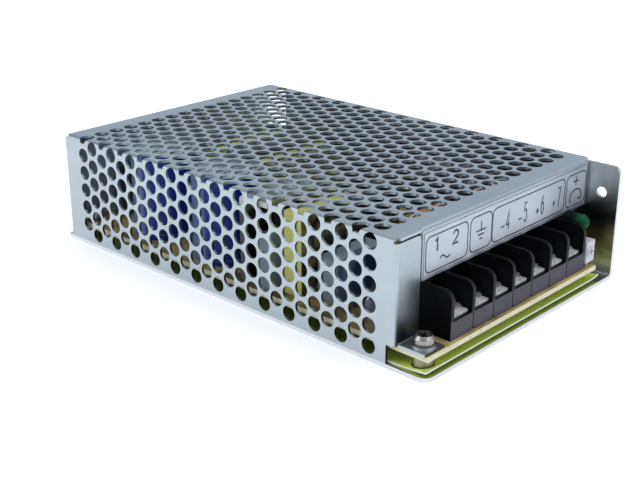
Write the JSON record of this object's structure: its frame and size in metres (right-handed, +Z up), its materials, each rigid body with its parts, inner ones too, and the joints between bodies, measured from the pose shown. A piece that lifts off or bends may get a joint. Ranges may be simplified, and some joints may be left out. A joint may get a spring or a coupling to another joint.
{
  "type": "switching power supply in a mesh case",
  "caption": "Flat power supply: L-shaped sheet chassis, folded perforated cover, board with parts, row of screw terminals in front.",
  "frame": {"origin": "centre of the underside of the chassis", "axes": "+X towards the screw terminals, +Y towards the solid chassis wall, +Z up"},
  "size_m": [0.159, 0.097, 0.038],
  "materials": {
    "chassis_sheet": "brushed, uncoated sheet",
    "cover_sheet": "satin galvanised sheet",
    "bright_steel": "nickel-plated fasteners",
    "insulating_film": "milky translucent film",
    "board_laminate": "tan laminate",
    "black_moulding": "satin black moulding",
    "contact_plating": "tin-plated",
    "pale_plastic": "pale grey",
    "green_lens": "green diffused lens",
    "blue_sleeve": "dark blue shrink sleeve",
    "ferrite": "sintered ferrite",
    "yellow_tape": "yellow polyester tape",
    "heatsink_metal": "mill finish",
    "black_epoxy": "moulded epoxy",
    "yellow_case": "yellow box",
    "grey_case": "grey box",
    "blue_epoxy": "dipped blue epoxy",
    "dark_green_epoxy": "dipped dark epoxy",
    "fuse_glass": "clear tube",
    "copper_wire": "enamelled copper wire",
    "ring_powder": "coated iron powder",
    "black_sleeve": "black shrink sleeve",
    "pad_silicone": "silicone pad",
    "resistor_coat": "tan coating",
    "green_case": "green dipped film"
  },
  "bodies": {
    "case": {"chassis": "chassis_sheet", "mesh_cover": "cover_sheet", "cover_screws": "bright_steel", "insulating_sheet": "insulating_film", "board_spacers": "bright_steel", "circuit_board": "board_laminate", "board_screws": "bright_steel", "spring_washers": "bright_steel", "plain_washers": "bright_steel", "terminal_block": "black_moulding", "terminal_contacts": "contact_plating", "trimmer_body": "pale_plastic", "indicator_lamp": "green_lens", "bulk_capacitor_1": "blue_sleeve", "bulk_capacitor_2": "blue_sleeve", "transformer_core": "ferrite", "transformer_winding": "yellow_tape", "primary_heatsink": "heatsink_metal", "power_transistor": "black_epoxy", "yellow_capacitor": "yellow_case", "grey_capacitors": "grey_case", "varistor": "blue_epoxy", "thermistor": "dark_green_epoxy", "fuse": "fuse_glass", "fuse_clips": "contact_plating", "filter_choke_core": "ferrite", "filter_choke_windings": "copper_wire", "bridge_rectifier": "black_epoxy", "output_choke_ring": "ring_powder", "output_choke_winding": "copper_wire", "output_capacitors": "black_sleeve", "output_rectifiers": "black_epoxy", "insulating_pads": "pad_silicone", "rectifier_screws": "bright_steel", "rectifier_nuts": "bright_steel", "small_capacitors": "black_sleeve", "control_chips": "black_epoxy", "resistors": "resistor_coat", "film_capacitor": "green_case"},
    "clamp_1": {"terminal_clamp_1": "bright_steel"},
    "screw_1": {"terminal_screw_1": "bright_steel"},
    "clamp_2": {"terminal_clamp_2": "bright_steel"},
    "screw_2": {"terminal_screw_2": "bright_steel"},
    "clamp_3": {"terminal_clamp_3": "bright_steel"},
    "screw_3": {"terminal_screw_3": "bright_steel"},
    "clamp_4": {"terminal_clamp_4": "bright_steel"},
    "screw_4": {"terminal_screw_4": "bright_steel"},
    "clamp_5": {"terminal_clamp_5": "bright_steel"},
    "screw_5": {"terminal_screw_5": "bright_steel"},
    "clamp_6": {"terminal_clamp_6": "bright_steel"},
    "screw_6": {"terminal_screw_6": "bright_steel"},
    "clamp_7": {"terminal_clamp_7": "bright_steel"},
    "screw_7": {"terminal_screw_7": "bright_steel"},
    "rotor": {"trimmer_rotor": "pale_plastic"}
  },
  "joints": [
    {"name": "clamp_1_lift", "type": "slide", "parent": "case", "child": "clamp_1", "axis": [0, 0, 1], "range_m": [0, 0.0036]},
    {"name": "screw_1_turn", "type": "hinge", "parent": "clamp_1", "child": "screw_1", "pos_m": [0.0701, -0.0295, 0.0141], "axis": [0, 0, 1], "range_deg": [0, 2160]},
    {"name": "clamp_2_lift", "type": "slide", "parent": "case", "child": "clamp_2", "axis": [0, 0, 1], "range_m": [0, 0.0036]},
    {"name": "screw_2_turn", "type": "hinge", "parent": "clamp_2", "child": "screw_2", "pos_m": [0.0701, -0.0198, 0.0141], "axis": [0, 0, 1], "range_deg": [0, 2160]},
    {"name": "clamp_3_lift", "type": "slide", "parent": "case", "child": "clamp_3", "axis": [0, 0, 1], "range_m": [0, 0.0036]},
    {"name": "screw_3_turn", "type": "hinge", "parent": "clamp_3", "child": "screw_3", "pos_m": [0.0701, -0.0101, 0.0141], "axis": [0, 0, 1], "range_deg": [0, 2160]},
    {"name": "clamp_4_lift", "type": "slide", "parent": "case", "child": "clamp_4", "axis": [0, 0, 1], "range_m": [0, 0.0036]},
    {"name": "screw_4_turn", "type": "hinge", "parent": "clamp_4", "child": "screw_4", "pos_m": [0.0701, -0.0004, 0.0141], "axis": [0, 0, 1], "range_deg": [0, 2160]},
    {"name": "clamp_5_lift", "type": "slide", "parent": "case", "child": "clamp_5", "axis": [0, 0, 1], "range_m": [0, 0.0036]},
    {"name": "screw_5_turn", "type": "hinge", "parent": "clamp_5", "child": "screw_5", "pos_m": [0.0701, 0.0093, 0.0141], "axis": [0, 0, 1], "range_deg": [0, 2160]},
    {"name": "clamp_6_lift", "type": "slide", "parent": "case", "child": "clamp_6", "axis": [0, 0, 1], "range_m": [0, 0.0036]},
    {"name": "screw_6_turn", "type": "hinge", "parent": "clamp_6", "child": "screw_6", "pos_m": [0.0701, 0.019, 0.0141], "axis": [0, 0, 1], "range_deg": [0, 2160]},
    {"name": "clamp_7_lift", "type": "slide", "parent": "case", "child": "clamp_7", "axis": [0, 0, 1], "range_m": [0, 0.0036]},
    {"name": "screw_7_turn", "type": "hinge", "parent": "clamp_7", "child": "screw_7", "pos_m": [0.0701, 0.0287, 0.0141], "axis": [0, 0, 1], "range_deg": [0, 2160]},
    {"name": "trimmer_turn", "type": "hinge", "parent": "case", "child": "rotor", "pos_m": [0.0761, 0.0372, 0.0118], "axis": [1, 0, 0], "range_deg": [-110, 110]}
  ],
  "couplings": [
    {"joint": "screw_1_turn", "follows": "clamp_1_lift", "rad_per_m": 10472},
    {"joint": "screw_2_turn", "follows": "clamp_2_lift", "rad_per_m": 10472},
    {"joint": "screw_3_turn", "follows": "clamp_3_lift", "rad_per_m": 10472},
    {"joint": "screw_4_turn", "follows": "clamp_4_lift", "rad_per_m": 10472},
    {"joint": "screw_5_turn", "follows": "clamp_5_lift", "rad_per_m": 10472},
    {"joint": "screw_6_turn", "follows": "clamp_6_lift", "rad_per_m": 10472},
    {"joint": "screw_7_turn", "follows": "clamp_7_lift", "rad_per_m": 10472}
  ]
}
